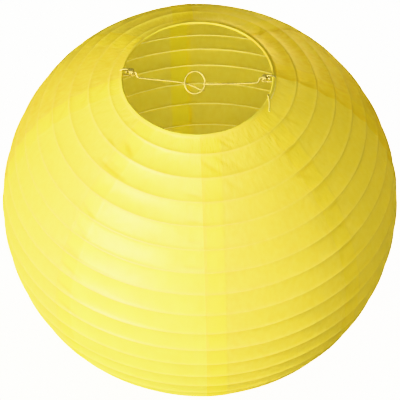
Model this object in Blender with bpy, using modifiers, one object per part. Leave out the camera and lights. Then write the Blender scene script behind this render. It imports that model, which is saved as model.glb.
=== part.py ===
"""A round paper lantern: eight lapped paper gores on one long wire helix, two rim rings, and an expander.

Metres, +Z up. The lantern stands on its bottom ring, and the origin is the centre of that ring's footprint.
An azimuth of 0 points along -Y and grows anticlockwise seen from above, so 90 degrees is +X.
"""

from math import ceil, cos, pi, radians, sin, sqrt

import bmesh
import bpy
from mathutils import Vector

MM = 0.001

# Globe
GLOBE_R = 150 * MM
POLAR_SHARE = 0.993  # half height of the full globe over its radius
RIM_LATITUDE = radians(67.5)  # of the two rings
SHEET = 0.2 * MM
GAP = 0.3 * MM

# Paper gores: the azimuth of each seam, in degrees. They are hand laid, so the spacing isn't quite even.
SEAMS = (1, 47, 92, 137, 182, 223, 267, 312)
LAP_WIDTH = 15.5 * MM
GORE_ROWS = 16
GORE_PANELS = 3  # columns between the lap and the next seam
RIM_MARGIN = 1.7 * MM  # from a ring's centre to the paper's edge, along the surface

# Wires
RING_WIRE_R = 0.7 * MM
RIB_WIRE_R = 0.4 * MM
EXPANDER_WIRE_R = 0.6 * MM
RING_STEPS = 48
RIB_PITCH = 18.3 * MM  # along the globe's surface
RIB_START = 69  # azimuth of the helix's upper end, in degrees
RIB_STEPS = 32  # points in each turn
RIB_INSET = 2.2 * MM  # the rib's centreline under the paper's outer face
RIB_LEAD = 1.7 * MM  # the rib lies this far along the surface from a ring where it runs beside it

# Expander: the hanger bar lies along a line at this yaw, this far from the lantern's axis
BAR_YAW = radians(-5)
BAR_OFFSET = 4 * MM
COIL_R = 2.3 * MM
COIL_OUT = 52.3 * MM
COIL_IN = 48.9 * MM
COIL_TURNS = 2.5
BOW_DEPTH = 26 * MM
BEAD_R = 1.85 * MM

# Hanging loop
LOOP_HALF_W = 7.65 * MM
LOOP_HALF_H = 8.5 * MM
LOOP_SHIFT = -2 * MM  # along the bar
LOOP_DROP = 5.9 * MM  # below the line of the coils, in the loop's own plane
LOOP_TILT = radians(48)  # of the loop's plane from vertical
LOOP_SPREAD = 1.5 * MM  # half the stagger of its wires along its axis

CENTRE_Z = POLAR_SHARE * GLOBE_R * sin(RIM_LATITUDE) + RING_WIRE_R
RIM_R = GLOBE_R * cos(RIM_LATITUDE)
TOP_Z = 2 * CENTRE_Z - RING_WIRE_R
BOTTOM_Z = RING_WIRE_R
RIM_TO_RIM = 2 * RIM_LATITUDE * GLOBE_R  # along the surface

PAPER = ((0.87, 0.74, 0.10), 0.85, 0.0)
RIB_STEEL = ((0.80, 0.76, 0.58), 0.45, 0.7)
BRIGHT_STEEL = ((0.86, 0.85, 0.80), 0.30, 0.9)


def material(name, finish):
    """A Principled material with a colour, a roughness and a metallic value."""
    colour, roughness, metallic = finish
    made = bpy.data.materials.get(name) or bpy.data.materials.new(name)
    made.use_nodes = True
    shader = made.node_tree.nodes["Principled BSDF"]
    shader.inputs["Base Color"].default_value = (*colour, 1)
    shader.inputs["Roughness"].default_value = roughness
    shader.inputs["Metallic"].default_value = metallic
    return made


def add(name, data, finish_name, finish):
    """Puts a sub-part's mesh or curve in the lantern's collection."""
    part = bpy.data.objects.new(name, data)
    part.data.materials.append(material(finish_name, finish))
    parts.objects.link(part)
    return part


def on_globe(azimuth, latitude, depth=0.0):
    """A point under (or, with a negative depth, over) the paper's outer face; azimuth in degrees."""
    r = (GLOBE_R - depth) * cos(latitude)
    z = CENTRE_Z + POLAR_SHARE * (GLOBE_R - depth) * sin(latitude)
    turn = radians(azimuth)
    return Vector((r * sin(turn), -r * cos(turn), z))


def below_rim(azimuth, along, depth):
    """A point given by its distance along the surface from the top ring, and its depth."""
    return on_globe(azimuth, RIM_LATITUDE - along / GLOBE_R, depth)


def smooth_route(route, step):
    """Points on a smooth curve through the route's points, about a step apart."""
    ends = [2 * route[0] - route[1], *route, 2 * route[-1] - route[-2]]
    points = []
    for a, b, c, d in zip(ends, ends[1:], ends[2:], ends[3:]):
        count = max(1, ceil((c - b).length / step))
        for i in range(count):
            t = i / count
            bend = (2 * a - 5 * b + 4 * c - d) * t * t + (3 * b - a - 3 * c + d) * t**3
            points.append(b + 0.5 * ((c - a) * t + bend))
    return [*points, route[-1]]


def wire(name, points, radius, finish_name, finish, sides_step, swell=None):
    """A round wire along the points. swell gives some points a radius of their own, as a multiple."""
    curve = bpy.data.curves.new(name, "CURVE")
    curve.dimensions = "3D"
    curve.bevel_depth = radius
    curve.bevel_resolution = sides_step
    curve.use_fill_caps = True
    spline = curve.splines.new("POLY")
    spline.points.add(len(points) - 1)
    for i, point in enumerate(points):
        spline.points[i].co = (*point, 1)
        spline.points[i].radius = (swell or {}).get(i, 1)
    return add(name, curve, finish_name, finish)


def ring(name, height):
    """A rim ring: an eight-sided wire section with flat top and bottom, turned about the lantern's axis."""
    section = bmesh.new()
    corners = []
    for i in range(8):
        turn = radians(22.5 - 45 * i)
        reach = RING_WIRE_R / cos(radians(22.5))
        corners.append(section.verts.new((RIM_R + reach * cos(turn), 0, reach * sin(turn))))
    for a, b in zip(corners, corners[1:] + corners[:1]):
        section.edges.new((a, b))
    mesh = bpy.data.meshes.new(name)
    section.to_mesh(mesh)
    section.free()
    part = add(name, mesh, "ring_wire", BRIGHT_STEEL)
    part.location.z = height
    turned = part.modifiers.new("turned", "SCREW")
    turned.steps = turned.render_steps = RING_STEPS
    turned.use_merge_vertices = True
    turned.merge_threshold = 1e-6
    turned.use_smooth_shade = True
    return part


def gore(number, seam, next_seam):
    """One paper gore. Its first edge lies over the gore before it, and its last edge under the next one."""
    edge_latitude = RIM_LATITUDE - RIM_MARGIN / GLOBE_R
    columns = GORE_PANELS + 4  # lap, step down, panels, tucked edge
    sheet = bmesh.new()
    bmesh.ops.create_grid(sheet, x_segments=columns - 1, y_segments=GORE_ROWS, size=1)
    for corner in sheet.verts:
        column = round((corner.co.x + 1) / 2 * (columns - 1))
        latitude = edge_latitude * corner.co.y
        per_metre = 180 / pi / (GLOBE_R * cos(latitude))  # degrees of azimuth for a metre across
        lap_end = seam + (LAP_WIDTH + 0.5 * MM) * per_metre
        step_end = lap_end + 1.5 * MM * per_metre
        panel = (next_seam - step_end) / GORE_PANELS
        azimuths = [seam, lap_end]
        azimuths += [step_end + i * panel for i in range(GORE_PANELS + 1)]
        azimuths.append(next_seam + LAP_WIDTH * per_metre)
        depth = -(SHEET + GAP) if column < 2 else 0
        corner.co = on_globe(azimuths[column], latitude, depth)
    mesh = bpy.data.meshes.new(f"paper_gore_{number}")
    sheet.to_mesh(mesh)
    sheet.free()
    mesh.shade_smooth()
    part = add(mesh.name, mesh, "paper", PAPER)
    skin = part.modifiers.new("paper", "SOLIDIFY")
    skin.thickness = SHEET
    skin.offset = -1
    return part


def rib_wire():
    """The helix under the paper. Its upper end hooks out over the top ring and lies on the paper."""
    over_the_ring = (
        (8.5, -0.75),
        (5.5, -0.75),
        (2.6, -0.9),
        (1.1, -1.3),
        (0, -1.55),
        (-1.1, -1.1),
        (-1.55, 0),
        (-1.1, 1.2),
        (0.2, 1.9),
    )
    hook = [below_rim(RIB_START - 2, along * MM, depth * MM) for along, depth in over_the_ring]
    points = smooth_route(hook, 1.5 * MM)
    turns = (RIM_TO_RIM - RIB_LEAD) / RIB_PITCH
    for i in range(int(turns * RIB_STEPS) + 1):
        turn = i / RIB_STEPS
        along = min(max(turn * RIB_PITCH, RIB_LEAD), RIM_TO_RIM - RIB_LEAD)
        points.append(below_rim(RIB_START + 360 * turn, along, RIB_INSET))
    return wire("rib_wire", points, RIB_WIRE_R, "rib_wire", RIB_STEEL, 0)


def in_bar_plane(out, across, height):
    """A point by its distance along the hanger bar's line, across it, and above the top ring's centre."""
    x = out * cos(BAR_YAW) - (BAR_OFFSET + across) * sin(BAR_YAW)
    y = out * sin(BAR_YAW) + (BAR_OFFSET + across) * cos(BAR_YAW)
    return Vector((x, y, TOP_Z + height))


def expander_bow(name, side):
    """A spring wire: a clip over the top ring, a coil for the hanger bar, a bowed leg and a foot."""
    crossing = sqrt(RIM_R**2 - BAR_OFFSET**2)
    clip = [
        (crossing + 2.4 * MM, 1.1 * MM),
        (crossing + 0.6 * MM, 1.9 * MM),
        (crossing - 1.4 * MM, 2.8 * MM),
        (crossing - 3.6 * MM, 3.0 * MM),
    ]
    route = [in_bar_plane(side * out, 0, height) for out, height in clip]
    points = smooth_route(route, 1.5 * MM)
    coil_points = round(COIL_TURNS * 12)
    for i in range(coil_points + 1):
        turn = 2 * pi * i / 12
        out = COIL_OUT + (COIL_IN - COIL_OUT) * i / coil_points
        points.append(in_bar_plane(side * out, COIL_R * sin(turn), COIL_R * cos(turn)))
    return_height = COIL_R + 2 * EXPANDER_WIRE_R + GAP
    bend = [
        (COIL_IN - 1.0 * MM, -COIL_R - 0.5 * MM),
        (COIL_IN - 0.6 * MM, -return_height),
        (COIL_OUT, -return_height - 0.3 * MM),
        (crossing + 0.8 * MM, -return_height - 0.4 * MM),
    ]
    height = TOP_Z - BOTTOM_Z
    leg_end = 6 * MM  # from a ring's centre to where the plain bow of the leg starts
    leg_out = crossing + 3.2 * MM
    leg = []
    for i in range(13):
        share = -cos(pi * i / 12)
        leg.append((leg_out + BOW_DEPTH * (1 - share * share), -height / 2 - share * (height / 2 - leg_end)))
    foot = [
        (crossing + 1.0 * MM, -height + 3.2 * MM),
        (crossing - 0.6 * MM, -height + 2.1 * MM),
        (crossing - 2.4 * MM, -height + 1.9 * MM),
        (crossing - 3.2 * MM, -height + 0.6 * MM),
    ]
    route = [in_bar_plane(side * out, 0, down) for out, down in bend + leg + foot]
    points += smooth_route(route, 14 * MM)
    return wire(name, points, EXPANDER_WIRE_R, "expander_wire", BRIGHT_STEEL, 1)


def in_loop_plane(out, up, towards):
    """A point by its place in the hanging loop's tilted plane, seen along the loop's axis."""
    across = up * sin(LOOP_TILT) - towards * cos(LOOP_TILT)
    height = up * cos(LOOP_TILT) + towards * sin(LOOP_TILT)
    return in_bar_plane(out, across, height)


def hanger_bar():
    """The cross wire: it turns in the two coils, and is wound once round into the hanging loop."""
    bead_out = COIL_OUT + EXPANDER_WIRE_R + GAP
    bead_end = bead_out + 1.1 * MM
    middle = -LOOP_DROP
    start = radians(-42)
    finish = 2 * pi

    def arm(side):
        ends = [(bead_end + 0.2 * MM, 0), (bead_end, 0), (bead_out, 0), (bead_out - 0.1 * MM, 0)]
        ends += [(COIL_IN - 1.9 * MM, -0.3 * MM), (COIL_IN - 2.6 * MM, -2.4 * MM)]
        ends += [(COIL_IN - 4.2 * MM, -4.0 * MM), (COIL_IN - 9 * MM, -4.6 * MM)]
        return [in_loop_plane(side * out, up, 0) for out, up in ends]

    loop = []
    loop_points = 26
    for i in range(loop_points + 1):
        share = i / loop_points
        turn = start + (finish - start) * share
        out = LOOP_SHIFT + LOOP_HALF_W * cos(turn)
        up = middle + LOOP_HALF_H * sin(turn)
        loop.append(in_loop_plane(out, up, LOOP_SPREAD * (2 * share - 1)))
    into = in_loop_plane(LOOP_SHIFT - LOOP_HALF_W - 1.5 * MM, middle - 0.7 * MM, -LOOP_SPREAD)
    out_of = in_loop_plane(LOOP_SHIFT + LOOP_HALF_W + 2.0 * MM, middle - 1.0 * MM, LOOP_SPREAD)
    points = [*arm(-1), into, *loop, out_of, *reversed(arm(1))]
    last = len(points) - 1
    swell = {i: BEAD_R / EXPANDER_WIRE_R for i in (1, 2, last - 1, last - 2)}
    return wire("hanger_bar", points, EXPANDER_WIRE_R, "hanger_wire", BRIGHT_STEEL, 1, swell)


for old in list(bpy.data.objects):
    bpy.data.objects.remove(old)
parts = bpy.data.collections.new("paper_lantern")
bpy.context.scene.collection.children.link(parts)

for index, seam_at in enumerate(SEAMS):
    following = SEAMS[index + 1] if index + 1 < len(SEAMS) else SEAMS[0] + 360
    gore(index + 1, seam_at, following)
ring("top_ring", TOP_Z)
ring("bottom_ring", BOTTOM_Z)
rib_wire()
expander_bow("expander_bow_left", -1)
expander_bow("expander_bow_right", 1)
hanger_bar()
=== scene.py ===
"""The looks of a round paper lantern: lapped paper gores on a wire helix, two rims and a wire expander.

Metres, +Z up, in the CAD part's frame. An azimuth of 0 points along -Y and grows anticlockwise seen
from above, so 90 degrees is +X. A point on the paper is given by its azimuth, by how far along the
surface it lies below the top ring, and by its lift over the plain globe.
"""

from math import cos, degrees, exp, floor, pi, radians, sin, sqrt

import bmesh
import bpy
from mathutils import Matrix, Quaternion, Vector, noise


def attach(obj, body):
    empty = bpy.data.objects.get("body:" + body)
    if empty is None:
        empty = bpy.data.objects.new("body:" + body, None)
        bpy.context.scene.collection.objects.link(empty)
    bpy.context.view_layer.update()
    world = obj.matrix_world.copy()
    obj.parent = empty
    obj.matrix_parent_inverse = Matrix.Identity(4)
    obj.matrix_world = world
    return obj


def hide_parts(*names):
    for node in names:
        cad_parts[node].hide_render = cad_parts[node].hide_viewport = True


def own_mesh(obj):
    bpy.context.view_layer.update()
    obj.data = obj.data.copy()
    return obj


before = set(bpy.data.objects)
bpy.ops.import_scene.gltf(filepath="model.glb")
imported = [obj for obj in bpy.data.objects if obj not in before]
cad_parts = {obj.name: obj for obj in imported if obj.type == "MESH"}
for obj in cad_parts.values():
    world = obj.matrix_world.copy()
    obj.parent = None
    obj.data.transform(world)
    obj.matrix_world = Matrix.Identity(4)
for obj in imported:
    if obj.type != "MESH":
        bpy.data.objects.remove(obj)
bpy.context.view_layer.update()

MM = 0.001

# Globe, as in the CAD part
GLOBE_R = 150 * MM
POLAR_SHARE = 0.993
RIM_LATITUDE = radians(67.5)
SEAMS = (1, 47, 92, 137, 182, 223, 267, 312)
GORE_TONES_WITH_PAINTED_LIGHT = (0.58, 0.63, 0.02, 0.55, 0.63, 0.30, 0.74, 1.0)  # 0 is the deepest, 1 the palest: partly dye, partly painted light, palest on gore 8 where the key's highlight falls and deepest on gore 3 on the shaded right
LAP_TONES = (1.0, 0.3, 0.25, 0.35, 0.7, 0.35, 0.6, 0.7)  # how far each lap takes on its own colour
LAP_WIDTH = 15.5 * MM
RING_WIRE_R = 0.7 * MM
RIB_WIRE_R = 0.55 * MM
EXPANDER_WIRE_R = 0.6 * MM
RIB_PITCH = 18.3 * MM
RIB_START = 69
RIB_LEAD = 1.7 * MM
CENTRE_Z = POLAR_SHARE * GLOBE_R * sin(RIM_LATITUDE) + RING_WIRE_R
RIM_R = GLOBE_R * cos(RIM_LATITUDE)
TOP_Z = 2 * CENTRE_Z - RING_WIRE_R
BOTTOM_Z = RING_WIRE_R
RIM_TO_RIM = 2 * RIM_LATITUDE * GLOBE_R

# Expander, as in the CAD part
BAR_YAW = radians(-5)
BAR_OFFSET = 4 * MM
COIL_R = 2.3 * MM
COIL_OUT = 52.3 * MM
COIL_IN = 48.9 * MM
COIL_TURNS = 2.5
COIL_STEPS = 32  # in a turn
BOW_DEPTH = 26 * MM
LOOP_HALF_W = 7.65 * MM
LOOP_HALF_H = 8.5 * MM
LOOP_SHIFT = -2 * MM
LOOP_DROP = 5.9 * MM
LOOP_TILT = radians(48)
LOOP_SPREAD = 1.5 * MM

# Paper relief
PAPER_EDGE = 0.8 * MM  # from a ring's centre to the paper's edge
RIDGE = 0.36 * MM  # of the paper over a rib wire
RIB_DEPTH = 0.68 * MM  # of a rib wire's centre under the crest of the ridge
RIDGE_WIDTH = 1.1 * MM
VALLEY = 1.3 * MM  # of the paper between two ribs
LAP_LIFT = 0.15 * MM  # of a lap over the gore before it
LAP_STEP = 1.6 * MM  # over which a lap's edge comes down
TUCK_DROP = 0.15 * MM  # of a gore's last edge below the next gore
TUCK = 2.5 * MM  # of a gore under the next one; the two are glued into one sheet beyond it
FLAT_SIDE = 0.2 * MM  # how far the middle of a gore lies in from the circle
RIB_WAVER = 0.5 * MM  # of the ribs along the surface
HEM_R = 0.92  # mm, of the paper wrapped round a ring
BAND_STEPS = (0, 0.03, 0.07, 0.12, 0.19, 0.28, 0.37, 0.46, 0.55, 0.64, 0.73, 0.81, 0.88, 0.93, 0.97)

# Colours of the paper
# Ends of the gore tones: the deep end is partly painted shade, the pale end partly a painted highlight
DEEP_DYE_AND_PAINTED_SHADE = (0.72, 0.50, 0.01)
PALE_DYE_AND_PAINTED_HIGHLIGHT = (0.94, 0.96, 0.14)
CLOUD = (0.89, 0.83, 0.065)
FIBRE = (0.96, 0.97, 0.21)
DOUBLE_PAPER = (0.97, 0.97, 0.08)
# Painted shade laid into the creases of the paper
PAINTED_CREASE_SHADE = (0.74, 0.65, 0.03)
# Painted highlight laid along the ridges over the ribs and along the hem over each ring
PAINTED_CREST_HIGHLIGHT = (0.98, 0.95, 0.42)
LIGHT_THROUGH = (0.98, 0.81, 0.30)
LIGHT_THROUGH_LAP = (0.98, 0.73, 0.12)
THROUGH_SHARE = 0.47  # of the paper's light that comes through it
DEEP_ROUGHNESS = 0.85
PALE_ROUGHNESS = 0.40

# View
FLOOR_Z = -0.4 * MM
VIEW_RISE = radians(48.3)
VIEW_ROLL = radians(-1.19)
VIEW_DISTANCE = 12
VIEW_LENS = 1418

# Creases of the paper, each from one place to another:
# azimuth and mm along, azimuth and mm along, mm deep, mm wide
CREASES = (
    (-53, 44.0, -36, 46.5, 0.65, 1.4),
    (-47, 41.0, -40, 42.5, 0.35, 1.6),
    (-46, 21.5, -38, 28.0, 0.70, 1.8),
    (-55, 26.0, -49, 31.0, 0.30, 1.8),
    (2, 20.0, 11, 30.5, 0.50, 1.6),
    (8, 15.0, 17.5, 27.0, 0.40, 1.5),
    (14, 4.0, 21, 13.0, 0.50, 1.5),
    (18.5, 3.5, 26, 11.0, 0.35, 1.4),
    (12.5, 36.0, 18.5, 45.0, 0.30, 1.6),
    (18.5, 23.5, 22, 31.0, 0.30, 1.5),
    (-48, 79.0, -41, 84.0, 0.40, 1.7),
    (-47, 97.0, -40, 102.0, 0.40, 1.7),
    (-49, 117.0, -41, 121.0, 0.40, 1.8),
    (-48, 134.0, -40, 139.0, 0.45, 1.8),
    (-48, 153.0, -41, 157.0, 0.45, 1.8),
    (-47, 172.0, -39, 177.0, 0.45, 1.8),
    (-91, 30.0, -85, 36.0, 0.40, 1.7),
    (-92, 64.0, -86, 70.0, 0.40, 1.7),
    (-6, 45.5, 0.5, 47.0, 0.40, 1.3),
    (-5, 65.5, 0.5, 66.5, 0.35, 1.3),
    (-4, 82.0, 0.5, 83.0, 0.40, 1.3),
    (-6, 101.5, 0.5, 103.0, 0.40, 1.3),
    (43, 35.5, 56, 38.0, 0.50, 1.7),
    (41, 46.0, 53.5, 69.0, 0.30, 1.6),
    (47, 54.5, 57, 57.5, 0.50, 1.7),
    (49, 75.0, 56, 77.0, 0.35, 1.6),
    (50, 93.5, 56, 95.0, 0.45, 1.7),
    (49.5, 108.0, 54, 117.0, 0.40, 1.6),
    (48, 128.5, 55, 131.0, 0.50, 1.8),
    (50, 142.5, 59, 144.5, 0.50, 1.8),
    (50, 160.0, 59, 162.0, 0.50, 1.8),
    (50, 178.0, 58, 180.0, 0.45, 1.8),
    (62, 12.0, 66, 30.0, 0.35, 1.7),
    (93, 20.0, 98, 38.0, 0.35, 1.7),
    (136, 12.0, 143, 26.0, 0.40, 1.6),
    (139, 60.0, 144, 76.0, 0.35, 1.6),
    (178, 26.0, 184, 40.0, 0.35, 1.6),
    (222, 22.0, 230, 34.0, 0.40, 1.6),
    (226, 84.0, 231, 99.0, 0.35, 1.6),
    (266, 10.0, 273, 22.0, 0.35, 1.6),
    (268, 48.0, 275, 62.0, 0.35, 1.6),
)


def on_globe(azimuth, along, lift=0.0):
    """A point on the paper."""
    latitude = RIM_LATITUDE - along / GLOBE_R
    r = (GLOBE_R + lift) * cos(latitude)
    z = CENTRE_Z + POLAR_SHARE * (GLOBE_R + lift) * sin(latitude)
    turn = radians(azimuth)
    return Vector((r * sin(turn), -r * cos(turn), z))


def smooth_step(low, high, value):
    """0 below low, 1 above high, and a smooth rise between them."""
    share = min(max((value - low) / (high - low), 0), 1)
    return share * share * (3 - 2 * share)


def rib_along(turns):
    """How far below the top ring the rib wire lies, after that many turns of its helix."""
    waver = RIB_WAVER * noise.noise(Vector((turns * 4.3, 2.7, 8.1)))
    return RIB_PITCH * turns + waver


def between_seams(azimuth):
    """How far the azimuth is from one seam to the next, from 0 to 1."""
    azimuth = (azimuth - SEAMS[0]) % 360 + SEAMS[0]
    edges = [*SEAMS, SEAMS[0] + 360]
    for low, high in zip(edges, edges[1:]):
        if low <= azimuth < high:
            return (azimuth - low) / (high - low)
    return 0.0


def tone_with_painted_light_at(azimuth):
    """The tone of the gore at an azimuth, partly dye and partly painted highlight and shade, with a short
    blend after each seam.
    """
    azimuth = (azimuth - SEAMS[0]) % 360 + SEAMS[0]
    number = sum(seam <= azimuth for seam in SEAMS) - 1
    before = GORE_TONES_WITH_PAINTED_LIGHT[number - 1]
    blend = smooth_step(SEAMS[number], SEAMS[number] + 3, azimuth)
    return before + (GORE_TONES_WITH_PAINTED_LIGHT[number] - before) * blend


def round_noise(azimuth, spacing, level, seed):
    """Noise that closes round the globe. spacing is the size of its waves in degrees."""
    reach = 180 / pi / spacing
    turn = radians(azimuth)
    return noise.noise(Vector((reach * sin(turn), reach * cos(turn) + seed, level)))


def flat_side(azimuth):
    """How far a gore lies in from the circle at an azimuth."""
    across = between_seams(azimuth)
    return FLAT_SIDE * 4 * across * (1 - across)


def relief(azimuth, along, turns, share, band):
    """The paper's lift: a ridge over each rib, a valley between ribs, flat gore sides and unevenness.

    turns is the helix turn of the rib above, share is how far the point is towards the rib below,
    and band is the distance between these two ribs.
    """
    near = min(share, 1 - share) * band
    ridge = RIDGE * exp(-((near / RIDGE_WIDTH) ** 2))
    slack = 1 + 0.7 * noise.noise(Vector((turns * 9, 4.4, 1.1)))
    valley = VALLEY * slack * (band / RIB_PITCH) ** 2 * 4 * share * (1 - share)
    side = flat_side(azimuth)
    soft = 0.25 * MM * round_noise(azimuth, 12, along * 45, 31)
    fine = 0.10 * MM * round_noise(azimuth, 3, along * 180, 57)
    calm = smooth_step(0, 4 * MM, near)
    return ridge - valley - side + (soft + fine) * calm


def gore_azimuths(seam, next_seam, along):
    """The azimuths of a gore's columns at one height, with the distance of each from its first edge."""
    per_metre = 180 / pi / (GLOBE_R * cos(RIM_LATITUDE - along / GLOBE_R))
    lap_end = seam + LAP_WIDTH * per_metre
    step_end = lap_end + LAP_STEP * per_metre
    tuck_end = next_seam + TUCK * per_metre
    azimuths = [seam + (lap_end - seam) * i / 10 for i in range(10)]
    azimuths += [lap_end + (step_end - lap_end) * i / 3 for i in range(3)]
    azimuths += [step_end + (next_seam - step_end) * i / 60 for i in range(60)]
    azimuths += [next_seam, tuck_end]
    return [(azimuth, (azimuth - seam) / per_metre) for azimuth in azimuths]


def band_rows(seam):
    """The rows of a gore, as (rib number, share towards the next rib), from top to bottom."""
    last = RIM_TO_RIM / RIB_PITCH
    highest = (seam - RIB_START) / 360 % 1
    count = floor(last - highest)
    rows = []
    for rib in range(-1, count + 1):
        rows += [(rib, share) for share in BAND_STEPS]
    rows.append((count, 1.0))
    return rows


def row_place(azimuth, first_turn, rib, share):
    """Where a row crosses an azimuth: how far along, the rib's turns, and the band's height."""
    top = PAPER_EDGE
    bottom = RIM_TO_RIM - PAPER_EDGE
    turns = first_turn + rib
    upper = top if rib < 0 else min(max(rib_along(turns), top), bottom)
    lower = min(max(rib_along(turns + 1), top), bottom)
    return upper + (lower - upper) * share, turns, lower - upper


def gathered(along, from_edge, to_seam):
    """How much the paper is gathered: most beside the seams and the rims."""
    rim = min(along, RIM_TO_RIM - along)
    gather = 0.2 + 0.8 * exp(-rim / (30 * MM))
    return gather + 0.8 * exp(-abs(to_seam) / (8 * MM)) + 0.6 * exp(-from_edge / (14 * MM))


def crinkles(azimuth, along, gather):
    """Folds of the gathered paper, which slant away from the seams."""
    slant = Vector((azimuth / 6.5 + along * 95, azimuth / 18 - along * 35, 9.4))
    folds = 1 - 2 * abs(noise.noise(slant))
    return 0.24 * MM * gather * (folds - 0.5)


def creases(azimuth, along):
    """The depth of the creases at a place on the paper."""
    per_degree = pi / 180 * GLOBE_R * cos(RIM_LATITUDE - along / GLOBE_R)
    depth = 0.0
    for from_azimuth, from_along, to_azimuth, to_along, deep, wide in CREASES:
        if not (from_along - 6) * MM < along < (to_along + 6) * MM:
            continue
        x = ((azimuth - from_azimuth + 180) % 360 - 180) * per_degree
        y = along - from_along * MM
        run_x = (to_azimuth - from_azimuth) * per_degree
        run_y = (to_along - from_along) * MM
        share = min(max((x * run_x + y * run_y) / (run_x**2 + run_y**2), 0), 1)
        off = sqrt((x - run_x * share) ** 2 + (y - run_y * share) ** 2)
        fade = 0.4 + 2.4 * share * (1 - share)
        depth += deep * MM * fade * exp(-((off / (wide * MM)) ** 2))
    return depth


def grid_faces(rows, columns, closed=False):
    """The faces between rows and columns of points. A closed grid's last row joins its first."""
    faces = []
    for row in range(rows if closed else rows - 1):
        for column in range(columns - 1):
            a = row * columns + column
            b = (row + 1) % rows * columns + column
            faces.append((a, b, b + 1, a + 1))
    return faces


def drop_empty_faces(mesh):
    """Removes the faces without an area, where a band has run out at the paper's lower edge."""
    sheet = bmesh.new()
    sheet.from_mesh(mesh)
    bmesh.ops.dissolve_degenerate(sheet, dist=0.0001 * MM, edges=sheet.edges)
    sheet.to_mesh(mesh)
    sheet.free()


def paper_piece(name, points, faces, places, marks):
    """A sheet of paper, whose points carry their places and the marks that its material reads."""
    mesh = bpy.data.meshes.new(name)
    mesh.from_pydata(points, [], faces)
    mesh.shade_smooth()
    place = mesh.attributes.new("paper_place", "FLOAT_VECTOR", "POINT")
    place.data.foreach_set("vector", [value for spot in places for value in spot])
    for mark, values in marks.items():
        mesh.attributes.new(mark, "FLOAT", "POINT").data.foreach_set("value", values)
    drop_empty_faces(mesh)
    return add(mesh, paper)


def gore(number, seam, next_seam):
    """One paper gore, with its first edge over the gore before it and its last edge under the next."""
    rows = band_rows(seam)
    first = (seam - RIB_START) / 360 % 1
    points = []
    places = []
    marks = {"painted_crest_highlight": [], "painted_crease_shade": [], "gathered": []}
    for rib, share in rows:
        middle = (share * first if rib < 0 else rib + share + first) * RIB_PITCH
        level = min(max(middle, PAPER_EDGE), RIM_TO_RIM - PAPER_EDGE)
        radius = GLOBE_R * cos(RIM_LATITUDE - level / GLOBE_R)
        for azimuth, from_edge in gore_azimuths(seam, next_seam, level):
            first_turn = (azimuth - RIB_START) / 360 - floor((seam - RIB_START) / 360)
            along, turns, band = row_place(azimuth, first_turn, rib, share)
            to_seam = radians(next_seam - azimuth) * radius
            near = min(share, 1 - share) * band
            loose = smooth_step(0, 3 * MM, near)
            gather = gathered(along, from_edge, to_seam)
            crease = creases(azimuth, along)
            lift = relief(azimuth, along, turns, share, band)
            lift += crinkles(azimuth, along, gather) * loose
            lift -= crease * loose
            lift += LAP_LIFT * (1 - smooth_step(LAP_WIDTH, LAP_WIDTH + LAP_STEP, from_edge))
            lift -= TUCK_DROP * smooth_step(0, 2 * MM, -to_seam)
            points.append(on_globe(azimuth, along, lift))
            lap = 1 - smooth_step(LAP_WIDTH - 0.4 * MM, LAP_WIDTH + 0.4 * MM, from_edge)
            places.append((radians(azimuth) * GLOBE_R, along, lap * LAP_TONES[number - 1]))
            # painted highlight along the crest over each rib
            marks["painted_crest_highlight"].append(exp(-((near / (1.2 * MM)) ** 2)))
            # painted shade in each crease, darker as the crease gets deeper
            marks["painted_crease_shade"].append(crease / (0.5 * MM))
            marks["gathered"].append(gather)
    marks["gore_tone_with_painted_light"] = [GORE_TONES_WITH_PAINTED_LIGHT[number - 1]] * len(points)
    faces = grid_faces(len(rows), len(points) // len(rows))
    piece = paper_piece(f"gore_{number}_paper", points, faces, places, marks)
    fold_flat(piece)
    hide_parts(f"paper_gore_{number}")
    return piece


def add(mesh, material):
    """Puts a mesh in the scene with its material."""
    piece = bpy.data.objects.new(mesh.name, mesh)
    mesh.materials.clear()
    mesh.materials.append(material)
    bpy.context.scene.collection.objects.link(piece)
    return piece


def fold_flat(piece):
    """Attaches the piece to the root body and gives it a mesh of its own."""
    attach(piece, "root")
    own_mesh(piece)


def smooth_route(route, step):
    """Points on a smooth curve through the route's points, about a step apart."""
    ends = [2 * route[0] - route[1], *route, 2 * route[-1] - route[-2]]
    points = []
    for a, b, c, d in zip(ends, ends[1:], ends[2:], ends[3:]):
        count = max(1, round((c - b).length / step))
        for i in range(count):
            t = i / count
            bend = (2 * a - 5 * b + 4 * c - d) * t * t + (3 * b - a - 3 * c + d) * t**3
            points.append(b + 0.5 * ((c - a) * t + bend))
    return [*points, route[-1]]


def wire(name, points, radius, material, closed=False, swell=None):
    """A round wire along the points, as a mesh. swell gives some points a thickness of their own."""
    curve = bpy.data.curves.new(name, "CURVE")
    curve.dimensions = "3D"
    curve.bevel_depth = radius
    curve.bevel_resolution = 3
    curve.use_fill_caps = True
    spline = curve.splines.new("POLY")
    spline.points.add(len(points) - 1)
    spline.use_cyclic_u = closed
    for i, point in enumerate(points):
        spline.points[i].co = (*point, 1)
        spline.points[i].radius = swell(point) if swell else 1
    drawn = bpy.data.objects.new(name, curve)
    mesh = bpy.data.meshes.new_from_object(drawn)
    bpy.data.objects.remove(drawn)
    bpy.data.curves.remove(curve)
    mesh.name = name
    mesh.shade_smooth()
    return add(mesh, material)


def rim_ring(name, height, body, stands_for):
    """The bare wire ring of a rim."""
    steps = 180
    points = []
    for i in range(steps):
        turn = 2 * pi * i / steps
        points.append(Vector((RIM_R * sin(turn), -RIM_R * cos(turn), height)))
    ring = wire(name, points, RING_WIRE_R, bright_wire, closed=True)
    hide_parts(stands_for)
    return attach(ring, body)


def beside_ring(along, depth):
    """A place by the paper, as (out, up) in mm from the ring's centre."""
    out = along * sin(RIM_LATITUDE) - depth * cos(RIM_LATITUDE)
    return out, -along * cos(RIM_LATITUDE) - depth * sin(RIM_LATITUDE)


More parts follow.
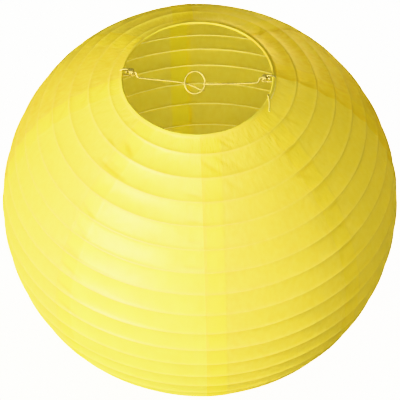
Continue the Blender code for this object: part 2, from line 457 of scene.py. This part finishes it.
def hem_section(up):
    """The hem's section about the ring's centre, as (out, up) from the flap inside to the edge outside."""
    inside = [beside_ring(along, depth) for along, depth in ((2.6, 1.15), (2.1, 1.05), (1.5, 0.96))]
    around = []
    for i in range(9):
        turn = radians(200 - 21 * i)
        around.append((HEM_R * cos(turn), HEM_R * sin(turn)))
    outside = [beside_ring(along, depth) for along, depth in ((1.1, -0.78), (1.45, -0.72))]
    return [(out * MM, up * rise * MM) for out, rise in inside + around + outside]


def rim_hem(name, height, up, body):
    """The strip of paper that is folded over a ring and glued down inside."""
    section = hem_section(up)
    steps = 360
    points = []
    places = []
    painted_ring_highlight = []
    tones = []
    for i in range(steps):
        turn = 2 * pi * i / steps
        # the hem carries the gore tones round, partly dye and partly painted highlight and shade
        tones += [tone_with_painted_light_at(degrees(turn))] * len(section)
        drift = noise.noise(Vector((sin(turn) * 7, cos(turn) * 7, 3 + 5 * up)))
        for j, (out, rise) in enumerate(section):
            uneven = noise.noise(Vector((sin(turn) * 26, cos(turn) * 26, j * 0.35 + 5 * up)))
            swell = 1 + 0.10 * uneven
            reach = RIM_R + out * swell
            fall = rise * swell
            if j in (0, len(section) - 1):
                reach += 0.5 * MM * drift
                fall -= up * 0.3 * MM * drift
            points.append((reach * sin(turn), -reach * cos(turn), height + fall))
            places.append((turn * RIM_R, j * MM, 0.2))
            # painted highlight where the hem wraps over the ring
            painted_ring_highlight.append(0.5 if 6 <= j <= 12 else 0.0)
    marks = {"painted_crest_highlight": painted_ring_highlight, "gathered": [1.5] * len(points), "gore_tone_with_painted_light": tones}
    faces = grid_faces(steps, len(section), closed=True)
    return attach(paper_piece(name, points, faces, places, marks), body)


def rib_helix():
    """The long rib wire under the paper."""
    steps = 72
    points = []
    turns = (RIM_TO_RIM - RIB_LEAD) / RIB_PITCH
    for i in range(int(turns * steps) + 1):
        turn = i / steps
        along = min(max(rib_along(turn), RIB_LEAD), RIM_TO_RIM - RIB_LEAD)
        azimuth = RIB_START + 360 * turn
        points.append(on_globe(azimuth, along, RIDGE - RIB_DEPTH - flat_side(azimuth)))
    helix = wire("rib_helix", points, RIB_WIRE_R, rib_metal)
    fold_flat(helix)
    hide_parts("rib_wire")
    return helix


def rib_end():
    """The rib wire's upper end: a hook over the top ring, and a tail on the paper.

    Each point is an azimuth, the mm along and the mm of lift.
    """
    over = (
        (77, 1.7, -0.3),
        (75, 1.0, -1.1),
        (73.5, 0, -1.45),
        (72, -1.0, -1.0),
        (70.5, -1.45, 0),
        (69, -1.0, 1.05),
        (67, 0.2, 1.5),
        (65, 1.5, 1.4),
    )
    down = (over[-1], (62, 3.4, 1.15), (59.5, 4.8, 1.15), (58, 6.0, 1.3))
    ends = []
    for name, places in (("rib_end_hook", over), ("rib_end_tail", down)):
        route = [on_globe(azimuth, along * MM, lift * MM) for azimuth, along, lift in places]
        ends.append(wire(name, smooth_route(route, 0.4 * MM), RIB_WIRE_R, glued_metal))
    hook, tail = ends
    fold_flat(tail)
    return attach(hook, "top_rim")


def in_bar_plane(out, across, height):
    """A point by its distance along the hanger bar's line, across it, and above the top ring's centre."""
    x = out * cos(BAR_YAW) - (BAR_OFFSET + across) * sin(BAR_YAW)
    y = out * sin(BAR_YAW) + (BAR_OFFSET + across) * cos(BAR_YAW)
    return Vector((x, y, TOP_Z + height))


def in_loop_plane(out, up, towards):
    """A point by its place in the hanging loop's tilted plane, seen along the loop's axis."""
    across = up * sin(LOOP_TILT) - towards * cos(LOOP_TILT)
    height = up * cos(LOOP_TILT) + towards * sin(LOOP_TILT)
    return in_bar_plane(out, across, height)


def expander_spring(side, word):
    """The upper end of an expander bow: a clip over the top ring and a coil for the hanger bar."""
    crossing = sqrt(RIM_R**2 - BAR_OFFSET**2)
    clip = [
        (crossing + 1.4 * MM, 1.35 * MM),
        (crossing + 0.6 * MM, 1.9 * MM),
        (crossing - 1.4 * MM, 2.8 * MM),
        (crossing - 3.6 * MM, 3.0 * MM),
    ]
    route = [in_bar_plane(side * out, 0, height) for out, height in clip]
    points = smooth_route(route, 0.5 * MM)
    coil_points = round(COIL_TURNS * COIL_STEPS)
    for i in range(coil_points + 1):
        turn = 2 * pi * i / COIL_STEPS
        out = COIL_OUT + (COIL_IN - COIL_OUT) * i / coil_points
        points.append(in_bar_plane(side * out, COIL_R * sin(turn), COIL_R * cos(turn)))
    below = -COIL_R - 2 * EXPANDER_WIRE_R - 0.3 * MM
    bend = [
        (COIL_IN - 1.0 * MM, -COIL_R - 0.5 * MM),
        (COIL_IN - 0.6 * MM, below),
        (COIL_OUT, below - 0.3 * MM),
        (crossing + 0.8 * MM, below - 0.4 * MM),
        leg_point(0),
    ]
    points += smooth_route([in_bar_plane(side * out, 0, height) for out, height in bend], 0.5 * MM)
    spring = wire(f"expander_spring_{word}", points, EXPANDER_WIRE_R, spring_metal)
    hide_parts(f"expander_bow_{word}")
    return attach(spring, "top_rim")


def leg_point(share):
    """A point on an expander leg, from 0 at its top to 1 at its bottom, as (out, height)."""
    leg_end = 6 * MM
    low = BOTTOM_Z - TOP_Z + leg_end
    height = -leg_end + (low + leg_end) * share
    leg_out = sqrt(RIM_R**2 - BAR_OFFSET**2) + 3.2 * MM
    return leg_out + BOW_DEPTH * (1 - (2 * share - 1) ** 2), height


def expander_leg(side, word):
    """The bowed leg between the two rims."""
    route = []
    for i in range(49):
        out, height = leg_point((1 - cos(pi * i / 48)) / 2)
        route.append(in_bar_plane(side * out, 0, height))
    leg = wire(f"expander_leg_{word}", route, EXPANDER_WIRE_R, spring_metal)
    fold_flat(leg)
    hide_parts(f"expander_bow_{word}")
    return leg


def expander_foot(side, word):
    """The leg's lower end, hooked over the bottom ring."""
    crossing = sqrt(RIM_R**2 - BAR_OFFSET**2)
    height = BOTTOM_Z - TOP_Z
    bend = [
        leg_point(1),
        (crossing + 1.0 * MM, height + 3.2 * MM),
        (crossing - 0.6 * MM, height + 2.1 * MM),
        (crossing - 2.4 * MM, height + 1.9 * MM),
        (crossing - 3.2 * MM, height + 0.6 * MM),
    ]
    points = smooth_route([in_bar_plane(side * out, 0, up) for out, up in bend], 0.5 * MM)
    foot = wire(f"expander_foot_{word}", points, EXPANDER_WIRE_R, spring_metal)
    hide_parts(f"expander_bow_{word}")
    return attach(foot, "root")


def hanger():
    """The cross wire, which turns in the two coils and is wound round into the hanging loop."""
    bead_out = COIL_OUT + EXPANDER_WIRE_R + 0.3 * MM
    bead_end = bead_out + 1.1 * MM
    middle = -LOOP_DROP
    start = radians(-42)

    def arm(side):
        """The bar from its end in a coil to the start of the nearly straight arm."""
        ends = [(bead_end + 0.2 * MM, 0), (bead_end, 0), (bead_out, 0), (COIL_IN, 0)]
        ends += [(COIL_IN - 1.9 * MM, -0.3 * MM), (COIL_IN - 2.6 * MM, -2.4 * MM)]
        ends += [(COIL_IN - 4.2 * MM, -4.0 * MM), (COIL_IN - 9 * MM, -4.6 * MM)]
        return [in_loop_plane(side * out, up, 0) for out, up in ends]

    loop = []
    for i in range(53):
        share = i / 52
        turn = start + (2 * pi - start) * share
        out = LOOP_SHIFT + LOOP_HALF_W * cos(turn)
        up = middle + LOOP_HALF_H * sin(turn)
        loop.append(in_loop_plane(out, up, LOOP_SPREAD * (2 * share - 1)))
    into = in_loop_plane(LOOP_SHIFT - LOOP_HALF_W - 1.5 * MM, middle - 0.7 * MM, -LOOP_SPREAD)
    out_of = in_loop_plane(LOOP_SHIFT + LOOP_HALF_W + 2.0 * MM, middle - 1.0 * MM, LOOP_SPREAD)
    points = smooth_route([*arm(-1), into, *loop, out_of, *reversed(arm(1))], 0.5 * MM)

    def thickness(point):
        """The wire's swell: 1, and more at the beads on its two ends."""
        out = abs(point.x * cos(BAR_YAW) + point.y * sin(BAR_YAW))
        return 1 + 1.6 * smooth_step(bead_out - 0.3 * MM, bead_out + 0.3 * MM, out)

    bar = wire("hanger_wire", points, EXPANDER_WIRE_R, spring_metal, swell=thickness)
    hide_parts("hanger_bar")
    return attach(bar, "hanger")


def new_material(name):
    """An empty node material, with its nodes and its links."""
    made = bpy.data.materials.new(name)
    made.use_nodes = True
    made.node_tree.nodes.clear()
    return made, made.node_tree.nodes, made.node_tree.links


def mix_colours(nodes, links, share, first, second):
    """A node that goes from the first colour to the second with the share."""
    mix = nodes.new("ShaderNodeMix")
    mix.data_type = "RGBA"
    for socket, value in ((mix.inputs[6], first), (mix.inputs[7], second)):
        if isinstance(value, tuple):
            socket.default_value = (*value, 1)
        else:
            links.new(value, socket)
    links.new(share, mix.inputs[0])
    return mix.outputs[2]


def noise_value(nodes, links, place, stretch, detail, low, high):
    """Noise over the paper, stretched, and spread from low to high."""
    scaled = nodes.new("ShaderNodeVectorMath")
    scaled.operation = "MULTIPLY"
    scaled.inputs[1].default_value = stretch
    links.new(place, scaled.inputs[0])
    speckle = nodes.new("ShaderNodeTexNoise")
    speckle.inputs["Scale"].default_value = 1
    speckle.inputs["Detail"].default_value = detail
    links.new(scaled.outputs[0], speckle.inputs["Vector"])
    spread = nodes.new("ShaderNodeMapRange")
    spread.inputs["From Min"].default_value = low
    spread.inputs["From Max"].default_value = high
    links.new(speckle.outputs["Fac"], spread.inputs["Value"])
    return spread.outputs[0]


def read_mark(nodes, name, output):
    """A number or a vector that the mesh's points carry."""
    mark = nodes.new("ShaderNodeAttribute")
    mark.attribute_name = name
    return mark.outputs[output]


def scaled_by(nodes, links, value, factor):
    """The value, multiplied by a number or by another value."""
    product = nodes.new("ShaderNodeMath")
    product.operation = "MULTIPLY"
    links.new(value, product.inputs[0])
    if isinstance(factor, float):
        product.inputs[1].default_value = factor
    else:
        links.new(factor, product.inputs[1])
    return product.outputs[0]


def ridged(nodes, links, place, stretch, detail):
    """Noise with sharp crests, like crumpled paper."""
    soft = noise_value(nodes, links, place, stretch, detail, 0.25, 0.75)
    folded = nodes.new("ShaderNodeMath")
    folded.operation = "PINGPONG"
    folded.inputs[1].default_value = 0.5
    links.new(soft, folded.inputs[0])
    return folded.outputs[0]


def bumped(nodes, links, height, strength, distance, under=None):
    """A surface direction, changed by the height."""
    bump = nodes.new("ShaderNodeBump")
    bump.inputs["Strength"].default_value = strength
    bump.inputs["Distance"].default_value = distance
    links.new(height, bump.inputs["Height"])
    if under is not None:
        links.new(under, bump.inputs["Normal"])
    return bump.outputs[0]


def paper_colour(nodes, links, place, lap):
    """The gore's tone, partly dye and partly painted highlight and shade, under clouds, fibres, the double
    paper of the lap, painted shade in the creases and a painted highlight on the ribs' crests.
    """
    clouds = noise_value(nodes, links, place, (60, 45, 0), 3, 0.3, 0.7)
    fibres = noise_value(nodes, links, place, (230, 150, 0), 5, 0.35, 0.7)
    layers = (
        (clouds, 0.45, CLOUD),
        (fibres, 0.4, FIBRE),
        (lap, 0.85, DOUBLE_PAPER),
        (read_mark(nodes, "painted_crease_shade", "Fac"), 0.6, PAINTED_CREASE_SHADE),
        (read_mark(nodes, "painted_crest_highlight", "Fac"), 0.18, PAINTED_CREST_HIGHLIGHT),
    )
    tone = mix_colours(nodes, links, read_mark(nodes, "gore_tone_with_painted_light", "Fac"), DEEP_DYE_AND_PAINTED_SHADE, PALE_DYE_AND_PAINTED_HIGHLIGHT)
    for cover, strength, colour in layers:
        tone = mix_colours(nodes, links, scaled_by(nodes, links, cover, strength), tone, colour)
    return tone


def paper_surface(nodes, links, place):
    """The paper's fine relief: small folds where it is gathered, and its grain."""
    folds = ridged(nodes, links, place, (95, 55, 0), 2)
    gather = scaled_by(nodes, links, folds, read_mark(nodes, "gathered", "Fac"))
    grain = noise_value(nodes, links, place, (2200, 700, 0), 3, 0.2, 0.8)
    return bumped(nodes, links, grain, 0.3, 0.0002, bumped(nodes, links, gather, 0.25, 0.0015))


def paper_material():
    """Thin yellow paper with long fibres: it scatters light back and lets some through."""
    made, nodes, links = new_material("paper")
    place = read_mark(nodes, "paper_place", "Vector")
    parts = nodes.new("ShaderNodeSeparateXYZ")
    links.new(place, parts.inputs[0])
    lap = parts.outputs["Z"]
    surface = paper_surface(nodes, links, place)
    front = nodes.new("ShaderNodeBsdfPrincipled")
    gloss = nodes.new("ShaderNodeMapRange")
    gloss.inputs["To Min"].default_value = DEEP_ROUGHNESS
    gloss.inputs["To Max"].default_value = PALE_ROUGHNESS
    links.new(read_mark(nodes, "gore_tone_with_painted_light", "Fac"), gloss.inputs["Value"])
    links.new(gloss.outputs[0], front.inputs["Roughness"])
    front.inputs["Specular IOR Level"].default_value = 0.9
    links.new(paper_colour(nodes, links, place, lap), front.inputs["Base Color"])
    links.new(surface, front.inputs["Normal"])
    through = nodes.new("ShaderNodeBsdfTranslucent")
    tint = mix_colours(nodes, links, lap, LIGHT_THROUGH, LIGHT_THROUGH_LAP)
    links.new(tint, through.inputs["Color"])
    links.new(surface, through.inputs["Normal"])
    both = nodes.new("ShaderNodeMixShader")
    both.inputs[0].default_value = THROUGH_SHARE
    links.new(front.outputs[0], both.inputs[1])
    links.new(through.outputs[0], both.inputs[2])
    output = nodes.new("ShaderNodeOutputMaterial")
    links.new(both.outputs[0], output.inputs[0])
    return made


def wire_material(name, colour, worn, metallic, roughness):
    """Drawn wire with fine marks along it."""
    made, nodes, links = new_material(name)
    place = nodes.new("ShaderNodeTexCoord")
    marks = noise_value(nodes, links, place.outputs["Object"], (900, 900, 900), 4, 0.35, 0.75)
    tone = mix_colours(nodes, links, marks, colour, worn)
    polish = nodes.new("ShaderNodeMapRange")
    polish.inputs["To Min"].default_value = roughness - 0.08
    polish.inputs["To Max"].default_value = roughness + 0.12
    links.new(marks, polish.inputs["Value"])
    metal = nodes.new("ShaderNodeBsdfPrincipled")
    metal.inputs["Metallic"].default_value = metallic
    links.new(tone, metal.inputs["Base Color"])
    links.new(polish.outputs[0], metal.inputs["Roughness"])
    output = nodes.new("ShaderNodeOutputMaterial")
    links.new(metal.outputs[0], output.inputs[0])
    return made


def floor_material():
    """A white floor that glows."""
    made, nodes, links = new_material("pale_floor")
    sweep = nodes.new("ShaderNodeBsdfPrincipled")
    sweep.inputs["Base Color"].default_value = (0.9, 0.9, 0.9, 1)
    sweep.inputs["Roughness"].default_value = 0.9
    sweep.inputs["Emission Color"].default_value = (1, 1, 1, 1)
    sweep.inputs["Emission Strength"].default_value = 6
    output = nodes.new("ShaderNodeOutputMaterial")
    links.new(sweep.outputs[0], output.inputs[0])
    return made


def pale_floor():
    """The pale floor that the lantern stands on. It is seen, but it lights nothing."""
    mesh = bpy.data.meshes.new("floor")
    corners = [(x, y, FLOOR_Z) for x, y in ((-6, -6), (6, -6), (6, 6), (-6, 6))]
    mesh.from_pydata(corners, [], [(0, 1, 2, 3)])
    mesh.materials.append(floor_material())
    sheet = bpy.data.objects.new("floor", mesh)
    bpy.context.scene.collection.objects.link(sheet)
    sheet.visible_diffuse = False
    sheet.visible_glossy = False
    sheet.visible_transmission = False


def soft_light(name, azimuth, elevation, distance, size, watts, colour=(1, 1, 1)):
    """A square softbox that faces the lantern's centre."""
    lamp = bpy.data.lights.new(name, "AREA")
    lamp.shape = "SQUARE"
    lamp.size = size
    lamp.energy = watts
    lamp.color = colour
    box = bpy.data.objects.new(name, lamp)
    turn = radians(azimuth)
    rise = radians(elevation)
    away = Vector((cos(rise) * sin(turn), -cos(rise) * cos(turn), sin(rise)))
    box.location = Vector((0, 0, CENTRE_Z)) + away * distance
    box.rotation_euler = away.to_track_quat("Z", "Y").to_euler()
    bpy.context.scene.collection.objects.link(box)


def surroundings(strength):
    """An even warm white light from all round."""
    world = bpy.data.worlds.new("studio")
    world.use_nodes = True
    world.node_tree.nodes["Background"].inputs["Color"].default_value = (1, 0.98, 0.82, 1)
    world.node_tree.nodes["Background"].inputs["Strength"].default_value = strength
    bpy.context.scene.world = world


def camera():
    """A long lens from the front, well above the lantern."""
    lens = bpy.data.cameras.new("camera")
    lens.lens = VIEW_LENS
    lens.sensor_width = 36
    lens.clip_end = 100
    view = bpy.data.objects.new("camera", lens)
    away = Vector((0, -cos(VIEW_RISE), sin(VIEW_RISE)))
    view.location = Vector((0, 0, CENTRE_Z)) + away * VIEW_DISTANCE
    roll = Quaternion((0, 0, 1), VIEW_ROLL)
    view.rotation_euler = (away.to_track_quat("Z", "Y") @ roll).to_euler()
    bpy.context.scene.collection.objects.link(view)
    bpy.context.scene.camera = view


paper = paper_material()
bright_wire = wire_material("ring_steel", (0.80, 0.74, 0.52), (0.64, 0.58, 0.38), 0.75, 0.34)
rib_metal = wire_material("rib_steel", (0.96, 0.90, 0.37), (0.93, 0.85, 0.31), 0.0, 0.5)
glued_metal = wire_material("glued_steel", (0.68, 0.58, 0.17), (0.56, 0.47, 0.12), 0.0, 0.55)
spring_metal = wire_material("spring_steel", (0.67, 0.56, 0.18), (0.45, 0.37, 0.12), 0.7, 0.42)

for index, seam_at in enumerate(SEAMS):
    following = SEAMS[index + 1] if index + 1 < len(SEAMS) else SEAMS[0] + 360
    gore(index + 1, seam_at, following)
rim_ring("top_rim_ring", TOP_Z, "top_rim", "top_ring")
rim_ring("bottom_rim_ring", BOTTOM_Z, "root", "bottom_ring")
rim_hem("top_hem", TOP_Z, 1, "top_rim")
rim_hem("bottom_hem", BOTTOM_Z, -1, "root")
rib_helix()
rib_end()
for side, word in ((-1, "left"), (1, "right")):
    expander_spring(side, word)
    expander_leg(side, word)
    expander_foot(side, word)
hanger()

pale_floor()
soft_light("key", -45, 14, 2.0, 1.0, 95, (0.96, 0.99, 0.90))
soft_light("high_fill", -5, 47, 2.0, 0.8, 21)
soft_light("low_fill", 46, -16, 2.0, 1.4, 18)
surroundings(0.33)
camera()
bpy.context.scene.view_settings.view_transform = "Khronos PBR Neutral"
